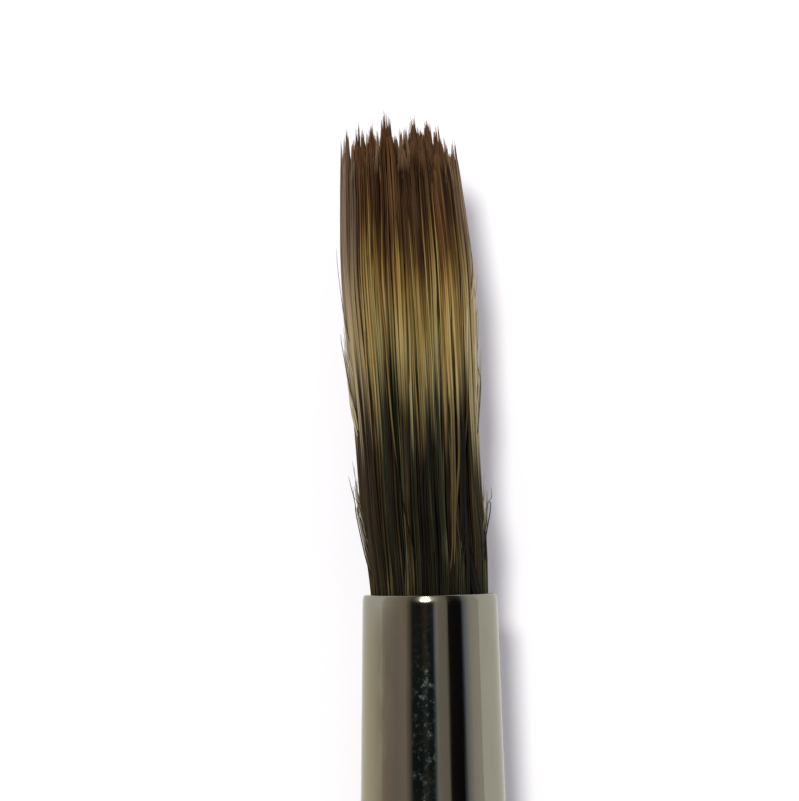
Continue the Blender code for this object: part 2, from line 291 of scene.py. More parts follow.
HIGH_STRAY_HAIRS = (
    (0.3, 0.6, (
        (6.4, 2.5, 0.5), (7.2, 2.76, 0.6), (8.4, 3.02, 0.7), (9.7, 3.24, 0.8), (10.1, 3.27, 0.8))),
    (0.4, 0.4, (
        (9.0, 2.74, 0.3), (10.4, 3.06, 0.4), (11.6, 3.24, 0.5), (12.8, 3.36, 0.5),
        (13.4, 3.38, 0.5))),
    (0.4, 0.5, (
        (6.2, -1.95, 0.4), (7.4, -2.06, 0.5), (8.2, -2.1, 0.5), (8.6, -2.02, 0.6),
        (8.7, -1.95, 0.6))),
    (0.3, 0.4, (
        (11.2, -1.72, 0.3), (12.2, -1.82, 0.4), (12.9, -1.84, 0.4), (13.4, -1.78, 0.4),
        (13.9, -1.7, 0.4))),
)
# Hairs that leave the tuft's edge a little, painted pale as lit through: (count, side of +Y
# or -Y, lowest start, highest start, longest) in mm
LOW_FRINGE = ((26, 1, 0.6, 3.0, 2.4), (9, -1, 1.4, 3.0, 2.0))
HIGH_FRINGE = ((16, 1, 5.9, 8.5, 3.2), (16, -1, 5.9, 11.5, 3.0))
FRINGE_ROOT = -0.06
FRINGE_FLARE = (0.05, 0.24)
FRINGE_BOW = (-0.03, 0.05)
FRINGE_ABOVE = 0.6
FRINGE_SHORTEST = 0.5
FRINGE_SHADES = (0.6, 1.0)
FRINGE_LIT_THROUGH = (0.4, 0.9)
FRINGE_THICKNESS = (0.4, 0.7)
FRINGE_DARK_ROOT = 0.6          # mm of each pale hair that is darker
LAST_DARK_ROOT = 3.5            # mm ahead; hairs that leave the tuft above this are all pale
STRAY_POINT = 0.25              # a stray hair's thickness at its end
FRINGE_INSET = 0.08             # the tuft's edge draws in above and below its middle
PAST_TIP = 40.0                 # mm ahead, where no hair reaches
NO_POINT = 5.0                  # mm from the tip, so that the point's colour never shows

# Ferrule
WALL = 0.3 * MM
LIP_LENGTH = 0.24 * MM          # the tube's outer edge turns in over this
LIP_RADIUS = 0.8 * MM
RIM_POINTS = 12
RIM_ROUNDING = 0.07 * MM
CRIMPED_SHARE = 0.4
CRIMP_STEP = 0.05 * MM
PLAIN_STEPS = 24
FERRULE_SIDES = 128
SHARP_ANGLE = math.radians(40)

# Handle
SHOULDER_GAP = 0.15 * MM
SHOULDER_EDGE = 0.12 * MM
SHOULDER_MARGIN = 0.1 * MM
TENON_RADIUS = 2.55 * MM
TENON_CHAMFER = 0.3 * MM
TENON_LAND = 1 * MM
TENON_RELIEF = 0.1 * MM
TENON_TAPER = 0.0245
TENON_STEPS = 6
BODY_STEP = 1.5 * MM
TAIL_EDGE = 4                   # the CAD handle's ring where the rounding of its tail ends
TAIL_FLAT = 1.0 * MM
TAIL_ROUNDING = 0.7 * MM
TAIL_STEPS = 8
HANDLE_SIDES = 96

# Nickel: tones by blotch, and a painted reflection from the tube's middle to its +Y side
NICKEL_TONES = (
    (0.3, (0.235, 0.225, 0.168)), (0.5, (0.245, 0.237, 0.182)), (0.7, (0.25, 0.246, 0.195)),
)
PAINTED_REFLECTION_TINTS = (
    (0.0, (1.0, 1.0, 1.0)), (0.3, (0.78, 0.75, 0.80)), (0.62, (0.66, 0.57, 0.49)),
    (0.8, (0.88, 0.81, 0.65)), (1.0, (1.0, 0.94, 0.77)),
)
PAINTED_REFLECTION_SPAN = (1.0 * MM, 2.6 * MM)
PAINTED_REFLECTION_CONTRAST = 3.0
RIM_TO_REFLECTION_AND_SPECKS = (0.4 * MM, 3.0 * MM)   # how far from the mouth the painted reflection and the specks set in
SPECK_COLOUR = (0.05, 0.14, 0.14)
SPECK_SHARE = 0.6
SPECK_ROUGHNESS = 0.18
STREAK_Y = 0.3 * MM
STREAK_EDGE = (0.7 * MM, 0.4 * MM)
NICKEL_ROUGHNESS = (0.06, 0.10)
RIM_ROUGHNESS = 0.1
RIM_SPAN = (1.3 * WALL, 0.4 * WALL)
NICKEL_EDGE = (0.9, 0.9, 0.85, 1.0)
DRAW_LINE_DEPTH = 2e-6

# Wood
WOOD_TONES = ((0.3, (0.30, 0.14, 0.05)), (0.5, (0.46, 0.25, 0.10)), (0.7, (0.58, 0.36, 0.17)))
PORE_SHARE = 0.55

# Plainer materials
CORE_TONES = ((0.3, (0.006, 0.005, 0.004)), (0.7, (0.03, 0.025, 0.015)))
THREAD_TONES = ((0.35, (0.45, 0.38, 0.26)), (0.65, (0.68, 0.60, 0.45)))
GLUE_TONES = ((0.3, (0.28, 0.15, 0.04)), (0.7, (0.42, 0.25, 0.08)))
TABLE_TONES = ((0.3, (0.84, 0.84, 0.845)), (0.7, (0.86, 0.86, 0.86)))

# Camera and light
VIEW_HEIGHT = 30.95 * MM        # what the picture's height takes in, at the brush
VIEW_AHEAD = 7.5 * MM           # the picture's middle, ahead of the mouth
VIEW_ASIDE = 1.05 * MM
VIEW_ROLL = math.radians(0.93)
LENS = 500.0
SENSOR = 36.0
SUN_ENERGY = 2.45
SUN_COLOUR = (1.0, 0.985, 0.96)
SUN_ANGLE = math.radians(10.5)
SUN_AHEAD = math.radians(18)
SUN_ASIDE = math.radians(8.3)
FILL_COLOUR = (0.62, 0.605, 0.66)
PLAIN_COLOUR = (0.93, 0.93, 0.94)
FLOOR_HALF = 8.0

# What polished surfaces show of the studio: (degrees from overhead towards -Y, colour)
STUDIO_STRIPS = (
    (-180, (0.5, 0.5, 0.5)), (-92, (0.92, 0.88, 0.84)), (-80, (0.70, 0.62, 0.58)),
    (-60, (0.52, 0.44, 0.41)), (-44, (0.48, 0.40, 0.36)), (-37, (0.26, 0.21, 0.18)),
    (-31, (0.035, 0.03, 0.03)), (-16, (0.018, 0.022, 0.024)), (-9, (0.075, 0.055, 0.05)),
    (-3, (0.012, 0.014, 0.022)), (4, (0.015, 0.028, 0.045)), (9, (0.52, 0.50, 0.52)),
    (15, (0.42, 0.37, 0.36)), (27, (0.38, 0.35, 0.31)), (31, (0.015, 0.011, 0.009)),
    (54, (0.006, 0.007, 0.016)), (60, (0.33, 0.38, 0.48)), (65, (0.50, 0.50, 0.54)),
    (72, (0.72, 0.69, 0.70)), (84, (0.82, 0.77, 0.76)), (92, (0.78, 0.74, 0.72)),
)


# --- shader nodes ---

def material_with(name):
    """A new node material, with its tree and its Principled shader."""
    material = bpy.data.materials.new(name)
    material.use_nodes = True
    tree = material.node_tree
    return material, tree, tree.nodes["Principled BSDF"]


def add_node(tree, kind, inputs=None, **settings):
    """A node whose inputs take either values or other nodes' outputs."""
    node = tree.nodes.new(kind)
    for setting, value in settings.items():
        setattr(node, setting, value)
    for socket, value in (inputs or {}).items():
        if isinstance(value, bpy.types.NodeSocket):
            tree.links.new(value, node.inputs[socket])
        else:
            node.inputs[socket].default_value = value
    return node


def ramp(tree, factor, stops):
    """A colour ramp over (position, (r, g, b)) stops."""
    node = add_node(tree, "ShaderNodeValToRGB", {"Fac": factor})
    elements = node.color_ramp.elements
    while len(elements) < len(stops):
        elements.new(0.5)
    for element, (position, colour) in zip(elements, stops):
        element.position = position
        element.color = (*colour, 1.0)
    return node.outputs["Color"]


def mixed(tree, factor, a, b, blend_type="MIX"):
    """Two colours mixed by a factor, each being a value or another node's output."""
    node = add_node(tree, "ShaderNodeMix", data_type="RGBA", blend_type=blend_type)
    for socket, value in ((0, factor), (6, a), (7, b)):
        if isinstance(value, bpy.types.NodeSocket):
            tree.links.new(value, node.inputs[socket])
        elif socket == 0:
            node.inputs[0].default_value = value
        else:
            node.inputs[socket].default_value = (*value, 1.0)
    return node.outputs[2]


def math_node(tree, operation, a, b=0.0, c=0.0):
    node = add_node(tree, "ShaderNodeMath", {0: a, 1: b, 2: c}, operation=operation)
    return node.outputs[0]


def ranged(tree, value, span, to=(0.0, 1.0), kind="LINEAR"):
    """Maps a value from the range in span to the range in to."""
    node = add_node(tree, "ShaderNodeMapRange", {
        "Value": value, "From Min": span[0], "From Max": span[1],
        "To Min": to[0], "To Max": to[1]}, interpolation_type=kind)
    return node.outputs[0]


def noise(tree, place, scale=1.0, detail=2.0, roughness=0.5):
    node = add_node(tree, "ShaderNodeTexNoise", {
        "Vector": place, "Scale": scale, "Detail": detail, "Roughness": roughness})
    return node.outputs["Fac"]


def stretched(tree, place, scale):
    return add_node(tree, "ShaderNodeMapping", {"Vector": place, "Scale": scale}).outputs[0]


def object_place(tree):
    return add_node(tree, "ShaderNodeTexCoord").outputs["Object"]


def attribute(tree, name):
    return add_node(tree, "ShaderNodeAttribute", attribute_name=name).outputs["Fac"]


def clouded_material(name, scale, tones, roughness, specular=0.5, stretch=None):
    """A material whose colour varies in soft clouds, or in streaks if it is stretched."""
    material, tree, shader = material_with(name)
    place = object_place(tree)
    if stretch:
        place = stretched(tree, place, stretch)
    tree.links.new(ramp(tree, noise(tree, place, scale), tones), shader.inputs["Base Color"])
    shader.inputs["Roughness"].default_value = roughness
    shader.inputs["Specular IOR Level"].default_value = specular
    return material


def core_material():
    return clouded_material("packed_hair", 1.0, CORE_TONES, 0.7, stretch=(150.0, 9000.0, 9000.0))


def thread_material():
    return clouded_material("waxed_thread", 9000.0, THREAD_TONES, 0.75)


def glue_material():
    return clouded_material("set_glue", 900.0, GLUE_TONES, 0.35)


def table_material():
    return clouded_material("pale_table", 6.0, TABLE_TONES, 0.9, specular=0.1)


def link_mesh(name, mesh, material):
    """A new piece in the scene, made of a mesh."""
    mesh.materials.append(material)
    piece = bpy.data.objects.new(name, mesh)
    bpy.context.scene.collection.objects.link(piece)
    return piece


def add_mesh(name, points, faces, material):
    mesh = bpy.data.meshes.new(name)
    mesh.from_pydata(points, [], faces)
    mesh.polygons.foreach_set("use_smooth", [True] * len(mesh.polygons))
    return link_mesh(name, mesh, material)


# --- the tuft's outline ---

def eased(value):
    value = np.clip(value, 0, 1)
    return value * value * (3 - 2 * value)


def smooth_through(rows, places):
    """Heights at places, on a smooth curve through (place, height) rows."""
    x, height = rows.T
    slope = np.gradient(height, x)
    index = np.clip(np.searchsorted(x, places) - 1, 0, len(x) - 2)
    span = x[index + 1] - x[index]
    t = np.clip((places - x[index]) / span, 0, 1)
    return (
        (2 * t**3 - 3 * t**2 + 1) * height[index]
        + (t**3 - 2 * t**2 + t) * span * slope[index]
        + (3 * t**2 - 2 * t**3) * height[index + 1]
        + (t**3 - t**2) * span * slope[index + 1]
    )


def outline(ahead):
    """Half width and half thickness of the tuft, for an array of distances ahead."""
    return smooth_through(TUFT_SHAPE[:, :2], ahead), smooth_through(TUFT_SHAPE[:, ::2], ahead)


def middle(ahead):
    """Sideways place of the tuft's middle, for an array of distances ahead."""
    settled = eased((ahead - LEAN_START) / LEAN_EASING)
    return math.tan(LEAN) * np.maximum(ahead, 0) + LEAN_SETBACK * settled


# --- hairs ---

def disc_points(rng, count):
    """Evenly spread places (across, deep) in a disc of radius 1, in a random order."""
    index = rng.permutation(count)
    radius = np.sqrt((index + 0.5) / count)
    angle = index * math.pi * (3 - math.sqrt(5))
    return np.stack((radius * np.cos(angle), radius * np.sin(angle)), axis=1)


def spread_evenly(values):
    """The values' ranks, from 0 to 1."""
    return np.argsort(np.argsort(values)) / (len(values) - 1)


def wisp_table(rng):
    """The wisps that the hairs gather in: place, drift, lift, tones and which lie aslant."""
    place = disc_points(rng, WISP_COUNT)
    wisps = {
        "place": place,
        "drift": rng.normal(0, WISP_DRIFT, (WISP_COUNT, 2)),
        "lift": rng.uniform(-WISP_SINK, 0.0, WISP_COUNT),
        "tone": rng.normal(0, 1, (WISP_COUNT, 4)),
        "grain": rng.uniform(0, GRAIN_SPAN, WISP_COUNT),
        "slanted": np.zeros(WISP_COUNT, bool),
    }
    for across, across_end, breadth, shade in SLANTING_WISPS:
        on_top = np.array((across, SLANT_DEPTH * math.sqrt(1 - across * across)))
        off = np.linalg.norm(place - on_top, axis=1)
        chosen = off <= max(breadth, off.min())
        wisps["drift"][chosen] = (across_end - across, SLANT_RISE)
        wisps["lift"][chosen] = SLANT_LIFT
        wisps["tone"][chosen, 0] = SLANT_CONTRAST * (shade - 0.5)
        wisps["slanted"][chosen] = True
    return wisps


def lock_table(rng):
    """Every lock as (across, deep, reach, breadth, clump length, pull)."""
    rows = []
    for deep, locks in ((LOCK_DEPTH, FRONT_LOCKS), (-LOCK_DEPTH, BACK_LOCKS)):
        for across, reach, breadth in locks:
            room = math.sqrt(max(1.0 - across * across, 0.0))
            scatter = rng.uniform(-LOCK_SCATTER, LOCK_SCATTER)
            rows.append((
                across, (deep + scatter) * room, reach * MM + UNSEEN_END, breadth,
                rng.uniform(*CLUMP_LENGTHS), rng.uniform(*CLUMP_PULLS)))
    return np.array(rows)


def lock_numbers(rng, place):
    """What each hair, given by its place near the tip, takes from the lock that it joins."""
    locks = lock_table(rng)
    off = np.linalg.norm((place[:, None] - locks[None, :, :2]) * PLACE_WEIGHTS, axis=2)
    doubt = rng.uniform(0, LOCK_DOUBT, off.shape)
    joined = np.argmin(off - locks[None, :, 3] + doubt, axis=1)
    loose = rng.random(len(place)) < LOOSE_SHARE
    off = off[np.arange(len(place)), joined]
    breadth = locks[joined, 3]
    within = np.minimum(off / breadth, 1)
    beyond = np.maximum(off - breadth, 0)
    short = LOCK_SLOPE * breadth * within**LOCK_CURVE + OUTSIDE_SLOPE * beyond
    short = np.minimum(short, SHORT_LIMIT) + rng.exponential(SHORT_SCATTER, len(place))
    short += np.where(loose, rng.uniform(0, LOOSE_SHORT, len(place)), 0)
    # thin locks and the shaded back locks get points painted as brightly lit through
    bright = (locks[:, 3] < THIN_LOCK) | (locks[:, 1] < 0)
    glow = np.where(
        bright, rng.uniform(*BRIGHT_GLOW, len(locks)), rng.uniform(*DULL_GLOW, len(locks)))
    return {
        "lock_place": locks[joined, :2],
        "lock_reach": locks[joined, 2],
        "breadth": breadth,
        "clump": locks[joined, 4],
        "pull": np.where(loose, LOOSE_PULL, locks[joined, 5]),
        "reach": locks[joined, 2] - short,
        "glow": glow[joined],
    }


def colour_numbers(rng, home, across, wisp_tone):
    """Each hair's shade and coolness of tone, and where its colour turns."""
    strip = np.clip(((home[:, 0] + 1) / 2 * STRIP_COUNT).astype(int), 0, STRIP_COUNT - 1)
    strip_tone = rng.normal(0, 1, (STRIP_COUNT, 4))[strip]
    own_tone = rng.normal(0, 1, (len(home), 4))
    tone = STRIP_SHARE * strip_tone + WISP_SHARE * wisp_tone + OWN_SHARE * own_tone
    dark_end, pale_end, lighter = (
        np.interp(across, TONES_ACROSS[:, 0], column) for column in TONES_ACROSS[:, 1:].T)
    return {
        "shade": spread_evenly(tone[:, 0]) + lighter,
        "coolness": spread_evenly(tone[:, 1]),
        "dark_end": dark_end + DARK_END_SPREAD[0] * tone[:, 2] + DARK_END_SPREAD[1] * own_tone[:, 2],
        "pale_end": pale_end + PALE_END_SPREAD[0] * tone[:, 3] + PALE_END_SPREAD[1] * own_tone[:, 3],
    }


def lit_through_share(across):
    """How much a hair is painted pale, as lit through: 0 in the tuft's middle, and 1 at its very
    edges.
    """
    left = (across - LEFT_EDGE) / LEFT_EDGE_BREADTH
    right = (RIGHT_EDGE - across) / RIGHT_EDGE_BREADTH
    return np.clip(np.maximum(left, right), 0, 1)


def grow_hairs():
    """Every hair's own numbers, one row a hair."""
    rng = np.random.default_rng(SEED)
    count = HAIR_COUNT
    home = disc_points(rng, count) + rng.normal(0, SCATTER, (count, 2))
    wisps = wisp_table(rng)
    wisp = np.argmin(np.linalg.norm(home[:, None] - wisps["place"][None], axis=2), axis=1)
    stray = rng.random(count) < STRAY_SHARE
    own_drift = rng.normal(0, HAIR_DRIFT, (count, 2)) * np.where(stray, STRAY_DRIFT, 1)[:, None]
    drift = wisps["drift"][wisp] + own_drift
    drift[:, 0] -= UPRIGHT * (1 - home[:, 0] ** 2)
    across = home[:, 0] + drift[:, 0]
    hairs = {
        "home": home,
        "drift": drift,
        "wisp_place": wisps["place"][wisp],
        "lift": wisps["lift"][wisp] + STRAY_LIFT * stray,
        "settled": np.where(wisps["slanted"][wisp], SLANT_LENGTH, HAIR_OUT),
    }
    hairs.update(lock_numbers(rng, home + drift))
    hairs.update(colour_numbers(rng, home, across, wisps["tone"][wisp]))
    hairs["wisp_pull"] = rng.uniform(*WISP_PULLS, count)
    hairs["radius"] = HAIR_RADIUS * rng.uniform(*RADIUS_RANGE, count)
    hairs["wave"] = rng.normal(0, WAVE_SIZE, (count, 2, WAVES))
    hairs["phase"] = rng.uniform(0, 2 * math.pi, (count, 2, WAVES))
    hairs["turn"] = rng.uniform(0, 2 * math.pi, count)
    # edge hairs painted pale, as lit through
    hairs["pale"] = LIT_THROUGH_PALENESS * lit_through_share(across) * rng.uniform(*LIT_THROUGH_RANGE, count)
    hairs["glow"] = hairs["glow"] * rng.uniform(*GLOW_RANGE, count)
    hairs["grain"] = wisps["grain"][wisp] + rng.uniform(0, GRAIN_SPREAD, count)
    return hairs


def free_places(hairs, ahead):
    """Places (across, deep) along each hair, before the locks draw its end in."""
    growth = np.clip(ahead / HAIR_OUT, 0, 1)[..., None]
    moved = np.sin(np.clip(ahead / hairs["settled"][:, None], 0, 1) * math.pi / 2)[..., None]
    toward = (hairs["wisp_pull"][:, None] * eased(ahead / WISP_LENGTH))[..., None]
    place = hairs["home"][:, None] + (hairs["wisp_place"] - hairs["home"])[:, None] * toward
    place = place + hairs["drift"][:, None] * moved
    for step in range(WAVES):
        beat = ahead * (2 * math.pi / WAVE_LENGTH) * (step + 1)
        swing = np.sin(beat[..., None] + hairs["phase"][:, None, :, step])
        place = place + hairs["wave"][:, None, :, step] / (step + 1) * swing * growth
    size = np.linalg.norm(place, axis=2, keepdims=True)
    limit = 1.0 + hairs["lift"][:, None, None] * np.sin(math.pi * growth**LIFT_CURVE)
    return np.where(size > limit, place / np.maximum(size, ROUNDING_ERROR) * limit, place)


def hair_paths(hairs, ahead):
    """Points along each hair, for a table of distances ahead (hair, ring)."""
    place = free_places(hairs, ahead)
    drawn = ahead - (hairs["lock_reach"] - hairs["clump"])[:, None]
    drawn = eased(drawn / (CLUMP_EASING * hairs["clump"][:, None])) * hairs["pull"][:, None]
    off = (place - hairs["lock_place"][:, None]) * PLACE_WEIGHTS
    outside = np.linalg.norm(off, axis=2) / hairs["breadth"][:, None]
    inward = drawn * (1 - 1 / np.maximum(outside, 1.0))
    place = place + (hairs["lock_place"][:, None] - place) * inward[..., None]
    width, thickness = outline(ahead)
    x = MOUTH_X + ahead
    y = middle(ahead) + width * place[..., 0]
    z = AXIS_Z + thickness * place[..., 1]
    return np.stack((x, y, z), axis=2)


def hair_thickness(hairs, ahead):
    """Radius along each hair: full in the belly, drawn out to a fine point."""
    left = (hairs["reach"][:, None] - ahead) / TAPER_LENGTH
    point = POINT_THICKNESS + (1 - POINT_THICKNESS) * np.clip(left, 0, 1) ** TAPER_CURVE
    swell = 1 - SWELL / 2 + SWELL * np.sin(math.pi * np.clip(ahead / HAIR_OUT, 0, 1))
    return hairs["radius"][:, None] * point * swell


def tube_mesh(name, paths, radius, turn, marks, capped, material):
    """One tube a path, joined in one mesh, with its marks as attributes of its points."""
    count, rings = paths.shape[:2]
    angle = turn[:, None] + np.arange(HAIR_SIDES) * (2 * math.pi / HAIR_SIDES)
    ring = np.stack((np.zeros_like(angle), np.cos(angle), np.sin(angle)), axis=2)
    points = paths[:, :, None] + radius[:, :, None, None] * ring[:, None]
    numbers = np.arange(count * rings * HAIR_SIDES).reshape(count, rings, HAIR_SIDES)
    near, far = numbers[:, :-1], numbers[:, 1:]
    sides = np.stack((near, far, np.roll(far, -1, 2), np.roll(near, -1, 2)), axis=3).reshape(-1, 4)
    caps = np.concatenate([numbers[:, 0]] * capped[0] + [numbers[:, -1, ::-1]] * capped[1])
    loops = np.concatenate((sides.reshape(-1), caps.reshape(-1)))
    starts = np.concatenate((
        np.arange(len(sides)) * 4, len(sides) * 4 + np.arange(len(caps)) * HAIR_SIDES))
    mesh = bpy.data.meshes.new(name)
    mesh.vertices.add(points.size // 3)
    mesh.vertices.foreach_set("co", points.reshape(-1))
    mesh.loops.add(len(loops))
    mesh.loops.foreach_set("vertex_index", loops.astype(np.int32))
    mesh.polygons.add(len(starts))
    mesh.polygons.foreach_set("loop_start", starts.astype(np.int32))
    mesh.polygons.foreach_set("use_smooth", np.ones(len(starts), bool))
    mesh.update(calc_edges=True)
    for key, value in marks.items():
        layer = mesh.attributes.new(key, "FLOAT", "POINT")
        spread = np.repeat(np.broadcast_to(value, (count, rings)).reshape(-1), HAIR_SIDES)
        layer.data.foreach_set("value", spread.astype(np.float32))
    return link_mesh(name, mesh, material)


def hair_piece(name, hairs, ahead, capped, material):
    marks = {key: hairs[key][:, None] for key in HAIR_MARKS}
    marks["along"] = ahead / MM
    marks["to_tip"] = (hairs["reach"][:, None] - ahead) / MM
    return tube_mesh(name, hair_paths(hairs, ahead), hair_thickness(hairs, ahead),
                     hairs["turn"], marks, capped, material)


def picked(hairs, chosen):
    return {key: value[chosen] for key, value in hairs.items()}


def make_hair(material):
    """The tuft's hairs: one piece up to the cut, and above it an upper and an under one."""
    hairs = grow_hairs()
    outer = picked(hairs, np.linalg.norm(hairs["home"], axis=1) > INNER_SHARE)
    steps = np.linspace(0, 1, LOWER_RINGS)[None]
    ahead = np.repeat(HAIR_START + (CUT_AHEAD - HAIR_START) * steps, len(outer["turn"]), axis=0)
    lower = hair_piece("hair_lower", outer, ahead, (True, False), material)
    steps = np.linspace(0, 1, UPPER_RINGS)[None] ** RING_CURVE
    on_top = hairs["home"][:, 1] >= 0
    uppers = []
    for name, chosen in (("hair_upper_top", on_top), ("hair_upper_under", ~on_top)):
        half = picked(hairs, chosen)
        ahead = CUT_AHEAD + (half["reach"][:, None] - CUT_AHEAD) * steps
        uppers.append(hair_piece(name, half, ahead, (False, True), material))
    return lower, uppers


def stray_piece(name, strays, material):
    """A piece of single hairs that stand off the tuft, from (shade, pale, thickness, points), pale
    being how far each is painted as lit through.
    """
    rng = np.random.default_rng(SEED + 1)
    steps = np.linspace(0, 1, STRAY_RINGS)
    shade, pale, thickness, routes = zip(*strays)
    curves = []
    for route in routes:
        knots = np.linspace(0, 1, len(route))
        curves.append([smooth_through(np.stack((knots, row), axis=1), steps)
                       for row in np.array(route).T])
    ahead, aside, above = np.array(curves).transpose(1, 0, 2)
    paths = np.stack((MOUTH_X + ahead * MM, aside * MM, AXIS_Z + above * MM), axis=2)
    point = HAIR_RADIUS * (STRAY_POINT + (1 - STRAY_POINT) * np.sqrt(1 - steps))
    shade, pale, thickness = (np.array(row)[:, None] for row in (shade, pale, thickness))
    pale_from = np.minimum(ahead[:, :1] + FRINGE_DARK_ROOT, LAST_DARK_ROOT)
    marks = {
        "shade": shade,
        "coolness": shade,
        "pale": pale,
        "grain": GRAIN_SPAN / 2 * shade,
        "along": ahead,
        "to_tip": np.full_like(ahead, NO_POINT),
        "pale_end": np.full_like(ahead, PAST_TIP),
        "glow": 0 * pale,
        "dark_end": np.where(pale > 0, pale_from, PAST_TIP),
    }
    turn = rng.uniform(0, 2 * math.pi, len(strays))
    return tube_mesh(name, paths, thickness * point, turn, marks, (True, True), material)


def fringe(rng, count, side, low, high, longest):
    """Hairs that leave the tuft's edge a little, painted pale as lit through, on its +Y side (1) or
    -Y side (-1).
    """
    strays = []
    for _ in range(count):
        start = rng.uniform(low, high)
        length = rng.uniform(FRINGE_SHORTEST, 1.0) * longest
        above = rng.uniform(-FRINGE_ABOVE, FRINGE_ABOVE)
        flare = rng.uniform(*FRINGE_FLARE)
        bow = rng.uniform(*FRINGE_BOW)
        route = []
        for share, off in ((0.0, FRINGE_ROOT), (0.5, flare / 2 + bow), (1.0, flare)):
            ahead = np.array([(start + length * share) * MM])
            width = float(outline(ahead)[0][0]) / MM * (1 - FRINGE_INSET * above * above)
            aside = float(middle(ahead)[0]) / MM + side * (width + off)
            route.append((start + length * share, aside, above))
        strays.append((
            rng.uniform(*FRINGE_SHADES), rng.uniform(*FRINGE_LIT_THROUGH),
            rng.uniform(*FRINGE_THICKNESS), route))
    return strays


def make_strays(material):
    """The single hairs beside the tuft, below the cut and above it."""
    rng = np.random.default_rng(SEED + 2)
    pieces = []
    for name, single, fringes in (
            ("stray_hairs_low", LOW_STRAY_HAIRS, LOW_FRINGE),
            ("stray_hairs_high", HIGH_STRAY_HAIRS, HIGH_FRINGE)):
        strays = [(shade, 0.0, thickness, route) for shade, thickness, route in single]
        for row in fringes:
            strays += fringe(rng, *row)
        pieces.append(stray_piece(name, strays, material))
    return pieces


def make_core(material):
    """Packed hair inside the lower hairs and down to the roots in the ferrule."""
    rings = [(ahead * MM, radius * MM, radius * MM) for ahead, radius in ROOT_SHAPE]
    rings.insert(0, (-HAIR_ROOT, rings[0][1], rings[0][2]))
    for ahead in np.linspace(CORE_START, CUT_AHEAD + CORE_PAST_CUT, CORE_RINGS):
        width, thickness = outline(np.array([ahead]))
        rings.append((ahead, width[0] * CORE_SHARE, thickness[0] * CORE_SHARE))
    points, faces = [], []
    for ahead, width, thickness in rings:
        y = float(middle(np.array([ahead]))[0])
        for side in range(CORE_SIDES):
            angle = 2 * math.pi * side / CORE_SIDES
            points.append((
                MOUTH_X + ahead, y + width * math.cos(angle), AXIS_Z + thickness * math.sin(angle)))
    for row in range(len(rings) - 1):
        for side in range(CORE_SIDES):
            a = row * CORE_SIDES + side
            b = row * CORE_SIDES + (side + 1) % CORE_SIDES
            faces.append((a, a + CORE_SIDES, b + CORE_SIDES, b))
    faces.append(tuple(range(CORE_SIDES)))
    faces.append(tuple(reversed(range(len(points) - CORE_SIDES, len(points)))))
    return add_mesh("hair_core", points, faces, material)


def hair_shade(tree, along):
    """Each hair's shade, mottled along the hair."""
    spot = add_node(tree, "ShaderNodeCombineXYZ", {
        "X": math_node(tree, "MULTIPLY", along, MOTTLES_PER_MM), "Y": attribute(tree, "grain")})
    own = math_node(tree, "MULTIPLY_ADD", attribute(tree, "shade"), OWN_SHADE, -OWN_SHADE / 2)
    return math_node(tree, "ADD", own, noise(tree, spot.outputs[0]))


def hair_colour(tree):
    """Dark olive base, golden middle and red-brown tip, with painted light through the edge hairs
    and the points.
    """
    along, coolness = attribute(tree, "along"), attribute(tree, "coolness")
    shade = hair_shade(tree, along)
    base, gold, tip = (
        mixed(tree, 1.0, ramp(tree, shade, tones), ramp(tree, coolness, tints), "MULTIPLY")
        for tones, tints in (
            (BASE_TONES, BASE_TINTS), (GOLD_TONES, GOLD_TINTS), (TIP_TONES, TIP_TINTS)))
    from_dark = math_node(tree, "SUBTRACT", along, attribute(tree, "dark_end"))
    from_gold = math_node(tree, "SUBTRACT", along, attribute(tree, "pale_end"))
    past_dark, past_olive, past_gold, past_amber = (
        ranged(tree, value, span, kind="SMOOTHSTEP") for value, span in (
            (from_dark, DARK_TO_GOLD), (from_dark, OLIVE_TO_GOLD),
            (from_gold, GOLD_TO_AMBER), (from_gold, AMBER_TO_TIP)))
    olive = mixed(tree, 1.0, gold, OLIVE_TINT, "MULTIPLY")
    gold = mixed(tree, past_olive, olive, gold)
    gold = mixed(tree, past_gold, gold, ramp(tree, shade, AMBER_TONES))
    colour = mixed(tree, past_dark, base, gold)
    colour = mixed(tree, past_amber, colour, tip)
    # painted light through the hairs at the tuft's edges
    edge = mixed(tree, past_dark, LIT_THROUGH_DARK, LIT_THROUGH_GOLD)
    edge = mixed(tree, past_amber, edge, LIT_THROUGH_TIP)
    colour = mixed(tree, attribute(tree, "pale"), colour, edge)
    # painted glow at the hairs' points
    at_point = ranged(tree, attribute(tree, "to_tip"), (0.0, POINT_LENGTH), (POINT_GLOW_SHARE, 0.0))
    point = mixed(tree, attribute(tree, "glow"), POINT_FAINT_GLOW, POINT_FULL_GLOW)
    return mixed(tree, at_point, colour, point)


def hair_material():
    material, tree, shader = material_with("natural_hair")
    tree.links.new(hair_colour(tree), shader.inputs["Base Color"])
    shader.inputs["Roughness"].default_value = 0.5
    shader.inputs["Specular IOR Level"].default_value = 0.07
    return material


# --- ferrule and handle ---

def turned_radii(node, from_x, to_x):
    """The outer radius of a turned CAD node at each of its rings, as (x, radius) rows."""
    rows = {}
    for vertex in frame["nodes"][node].data.vertices:
        x = round(vertex.co.x, 6)
        if from_x <= x <= to_x:
            radius = math.hypot(vertex.co.y, vertex.co.z - AXIS_Z)
            rows[x] = max(radius, rows.get(x, 0.0))
    return np.array(sorted(rows.items()))


